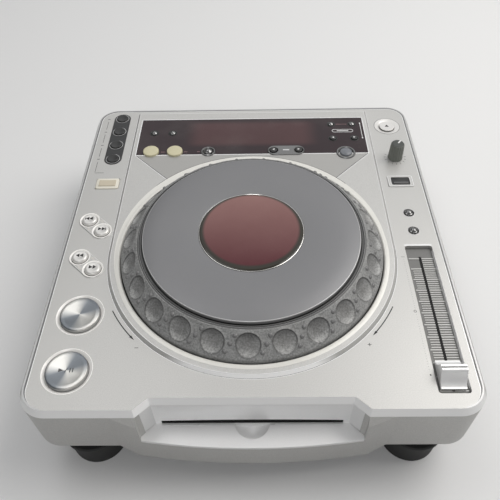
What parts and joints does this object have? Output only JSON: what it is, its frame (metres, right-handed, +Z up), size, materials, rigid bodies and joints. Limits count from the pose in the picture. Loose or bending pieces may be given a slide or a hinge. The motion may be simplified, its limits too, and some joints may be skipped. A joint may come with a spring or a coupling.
{
  "type": "tabletop disc player",
  "caption": "Slot-loading tabletop disc player with a raised jog dial, round play and cue keys, loop keys, a display window and a long tempo fader.",
  "frame": {"origin": "on the table, under the middle of the bounding box", "axes": "+X to the right seen from the front, +Y from the front edge to the back, +Z up"},
  "size_m": [0.305, 0.3396, 0.1084],
  "materials": {
    "silver_case": "satin silver paint",
    "grey_steel": "grey paint on sheet steel",
    "black_rubber": "matt",
    "zinc_steel": "zinc plated",
    "smoked_window": "smoked, glossy",
    "smoked_lens": "smoked, glossy",
    "display": "dark display panel",
    "bright_trim": "bright silver",
    "black_plastic": "fine matt grain",
    "grey_plate": "satin grey",
    "grey_plastic": "moulded",
    "white_plastic": "moulded",
    "circuit_board": "solder mask",
    "grip_rubber": "matt",
    "grey_aluminium": "satin, fine turned",
    "silver_key": "satin silver",
    "cream_key": "satin",
    "grey_key": "satin grey",
    "dark_key": "satin dark grey"
  },
  "bodies": {
    "case": {"bottom_case": "grey_steel", "case_screws": "zinc_steel", "display_module": "display", "display_window": "smoked_window", "drive_chassis": "zinc_steel", "drive_dampers": "black_rubber", "fader_scale": "grey_plate", "jog_cradle": "grey_plastic", "jog_display": "display", "key_boards": "circuit_board", "key_rings": "bright_trim", "loop_key_bezel": "black_plastic", "main_board": "circuit_board", "power_supply": "circuit_board", "rear_connectors": "black_plastic", "rubber_feet": "black_rubber", "slide_fader": "zinc_steel", "slot_bezel": "silver_case", "speed_pot": "black_plastic", "spindle_motor": "zinc_steel", "top_case": "silver_case"},
    "jog": {"jog_dial": "black_plastic", "jog_grip": "grip_rubber"},
    "jog_top": {"jog_plate": "grey_aluminium", "jog_lens": "smoked_lens"},
    "encoder": {"jog_encoder_gear": "white_plastic"},
    "fader": {"fader_knob": "silver_key"},
    "speed": {"speed_knob": "black_plastic"},
    "turntable": {"turntable": "black_plastic"},
    "clamp": {"disc_clamp": "black_plastic"},
    "roller": {"loading_roller": "black_rubber"},
    "pickup": {"laser_pickup": "black_plastic"},
    "call_back": {"call_back_button": "grey_key"},
    "call_forward": {"call_forward_button": "grey_key"},
    "cue": {"cue_button": "silver_key"},
    "delete": {"delete_button": "grey_key"},
    "eject": {"eject_button": "silver_key"},
    "folder_back": {"folder_back_button": "grey_key"},
    "folder_forward": {"folder_forward_button": "grey_key"},
    "jog_mode": {"jog_mode_button": "dark_key"},
    "loop_1_key": {"loop_button_1": "black_plastic"},
    "loop_2_key": {"loop_button_2": "black_plastic"},
    "loop_3_key": {"loop_button_3": "black_plastic"},
    "loop_4_key": {"loop_button_4": "black_plastic"},
    "loop_in": {"loop_in_button": "cream_key"},
    "loop_out": {"loop_out_button": "cream_key"},
    "master_tempo": {"master_tempo_button": "dark_key"},
    "memory": {"memory_button": "grey_key"},
    "play": {"play_button": "silver_key"},
    "power": {"power_button": "black_plastic"},
    "quick_return": {"quick_return_button": "grey_key"},
    "reloop": {"reloop_button": "cream_key"},
    "reverse": {"reverse_button": "cream_key"},
    "search_back": {"search_back_button": "silver_key"},
    "search_forward": {"search_forward_button": "silver_key"},
    "tempo_range": {"tempo_range_button": "dark_key"},
    "text": {"text_button": "grey_key"},
    "time": {"time_button": "grey_key"},
    "track_back": {"track_back_button": "silver_key"},
    "track_forward": {"track_forward_button": "silver_key"}
  },
  "joints": [
    {"name": "call_back_press", "type": "slide", "parent": "case", "child": "call_back", "axis": [0, 0, -1], "range_m": [0, 0.001], "stiffness_N_per_m": 500, "springref_m": -0.0004},
    {"name": "call_forward_press", "type": "slide", "parent": "case", "child": "call_forward", "axis": [0, 0, -1], "range_m": [0, 0.001], "stiffness_N_per_m": 500, "springref_m": -0.0004},
    {"name": "cue_press", "type": "slide", "parent": "case", "child": "cue", "axis": [0, 0, -1], "range_m": [0, 0.001], "stiffness_N_per_m": 500, "springref_m": -0.0004},
    {"name": "delete_press", "type": "slide", "parent": "case", "child": "delete", "axis": [0, 0, -1], "range_m": [0, 0.001], "stiffness_N_per_m": 500, "springref_m": -0.0004},
    {"name": "eject_press", "type": "slide", "parent": "case", "child": "eject", "axis": [0, 0, -1], "range_m": [0, 0.001], "stiffness_N_per_m": 500, "springref_m": -0.0004},
    {"name": "folder_back_press", "type": "slide", "parent": "case", "child": "folder_back", "axis": [0, 0, -1], "range_m": [0, 0.001], "stiffness_N_per_m": 500, "springref_m": -0.0004},
    {"name": "folder_forward_press", "type": "slide", "parent": "case", "child": "folder_forward", "axis": [0, 0, -1], "range_m": [0, 0.001], "stiffness_N_per_m": 500, "springref_m": -0.0004},
    {"name": "jog_mode_press", "type": "slide", "parent": "case", "child": "jog_mode", "axis": [0, 0, -1], "range_m": [0, 0.001], "stiffness_N_per_m": 500, "springref_m": -0.0004},
    {"name": "loop_1_key_press", "type": "slide", "parent": "case", "child": "loop_1_key", "axis": [0, 0, -1], "range_m": [0, 0.001], "stiffness_N_per_m": 500, "springref_m": -0.0004},
    {"name": "loop_2_key_press", "type": "slide", "parent": "case", "child": "loop_2_key", "axis": [0, 0, -1], "range_m": [0, 0.001], "stiffness_N_per_m": 500, "springref_m": -0.0004},
    {"name": "loop_3_key_press", "type": "slide", "parent": "case", "child": "loop_3_key", "axis": [0, 0, -1], "range_m": [0, 0.001], "stiffness_N_per_m": 500, "springref_m": -0.0004},
    {"name": "loop_4_key_press", "type": "slide", "parent": "case", "child": "loop_4_key", "axis": [0, 0, -1], "range_m": [0, 0.001], "stiffness_N_per_m": 500, "springref_m": -0.0004},
    {"name": "loop_in_press", "type": "slide", "parent": "case", "child": "loop_in", "axis": [0, 0, -1], "range_m": [0, 0.001], "stiffness_N_per_m": 500, "springref_m": -0.0004},
    {"name": "loop_out_press", "type": "slide", "parent": "case", "child": "loop_out", "axis": [0, 0, -1], "range_m": [0, 0.001], "stiffness_N_per_m": 500, "springref_m": -0.0004},
    {"name": "master_tempo_press", "type": "slide", "parent": "case", "child": "master_tempo", "axis": [0, 0, -1], "range_m": [0, 0.001], "stiffness_N_per_m": 500, "springref_m": -0.0004},
    {"name": "memory_press", "type": "slide", "parent": "case", "child": "memory", "axis": [0, 0, -1], "range_m": [0, 0.001], "stiffness_N_per_m": 500, "springref_m": -0.0004},
    {"name": "play_press", "type": "slide", "parent": "case", "child": "play", "axis": [0, 0, -1], "range_m": [0, 0.001], "stiffness_N_per_m": 500, "springref_m": -0.0004},
    {"name": "power_press", "type": "slide", "parent": "case", "child": "power", "axis": [0, -1, 0], "range_m": [0, 0.001], "stiffness_N_per_m": 500, "springref_m": -0.0004},
    {"name": "quick_return_press", "type": "slide", "parent": "case", "child": "quick_return", "axis": [0, 0, -1], "range_m": [0, 0.001], "stiffness_N_per_m": 500, "springref_m": -0.0004},
    {"name": "reloop_press", "type": "slide", "parent": "case", "child": "reloop", "axis": [0, 0, -1], "range_m": [0, 0.001], "stiffness_N_per_m": 500, "springref_m": -0.0004},
    {"name": "reverse_press", "type": "slide", "parent": "case", "child": "reverse", "axis": [0, 0, -1], "range_m": [0, 0.001], "stiffness_N_per_m": 500, "springref_m": -0.0004},
    {"name": "search_back_press", "type": "slide", "parent": "case", "child": "search_back", "axis": [0, 0, -1], "range_m": [0, 0.001], "stiffness_N_per_m": 500, "springref_m": -0.0004},
    {"name": "search_forward_press", "type": "slide", "parent": "case", "child": "search_forward", "axis": [0, 0, -1], "range_m": [0, 0.001], "stiffness_N_per_m": 500, "springref_m": -0.0004},
    {"name": "tempo_range_press", "type": "slide", "parent": "case", "child": "tempo_range", "axis": [0, 0, -1], "range_m": [0, 0.001], "stiffness_N_per_m": 500, "springref_m": -0.0004},
    {"name": "text_press", "type": "slide", "parent": "case", "child": "text", "axis": [0, 0, -1], "range_m": [0, 0.001], "stiffness_N_per_m": 500, "springref_m": -0.0004},
    {"name": "time_press", "type": "slide", "parent": "case", "child": "time", "axis": [0, 0, -1], "range_m": [0, 0.001], "stiffness_N_per_m": 500, "springref_m": -0.0004},
    {"name": "track_back_press", "type": "slide", "parent": "case", "child": "track_back", "axis": [0, 0, -1], "range_m": [0, 0.001], "stiffness_N_per_m": 500, "springref_m": -0.0004},
    {"name": "track_forward_press", "type": "slide", "parent": "case", "child": "track_forward", "axis": [0, 0, -1], "range_m": [0, 0.001], "stiffness_N_per_m": 500, "springref_m": -0.0004},
    {"name": "jog_turn", "type": "hinge", "parent": "case", "child": "jog", "pos_m": [0, -0.02545, 0], "axis": [0, 0, 1], "continuous": true},
    {"name": "jog_touch", "type": "slide", "parent": "jog", "child": "jog_top", "axis": [0, 0, -1], "range_m": [0, 0.0005], "stiffness_N_per_m": 4000, "springref_m": -0.0008},
    {"name": "encoder_turn", "type": "hinge", "parent": "case", "child": "encoder", "pos_m": [-0.05091, -0.07636, 0], "axis": [0, 0, 1], "continuous": true},
    {"name": "fader_slide", "type": "slide", "parent": "case", "child": "fader", "axis": [0, 1, 0], "range_m": [0, 0.1]},
    {"name": "speed_turn", "type": "hinge", "parent": "case", "child": "speed", "pos_m": [0.13, 0.08405, 0], "axis": [0, 0, 1], "range_deg": [-113, 187]},
    {"name": "turntable_spin", "type": "hinge", "parent": "case", "child": "turntable", "pos_m": [0, -0.08535, 0], "axis": [0, 0, 1], "continuous": true},
    {"name": "clamp_lift", "type": "slide", "parent": "case", "child": "clamp", "axis": [0, 0, 1], "range_m": [0, 0.0015]},
    {"name": "roller_spin", "type": "hinge", "parent": "case", "child": "roller", "pos_m": [0, -0.14215, 0.0489], "axis": [1, 0, 0], "continuous": true},
    {"name": "pickup_slide", "type": "slide", "parent": "case", "child": "pickup", "axis": [0, 1, 0], "range_m": [0, 0.033]}
  ],
  "couplings": [
    {"joint": "encoder_turn", "follows": "jog_turn", "ratio": -5}
  ]
}
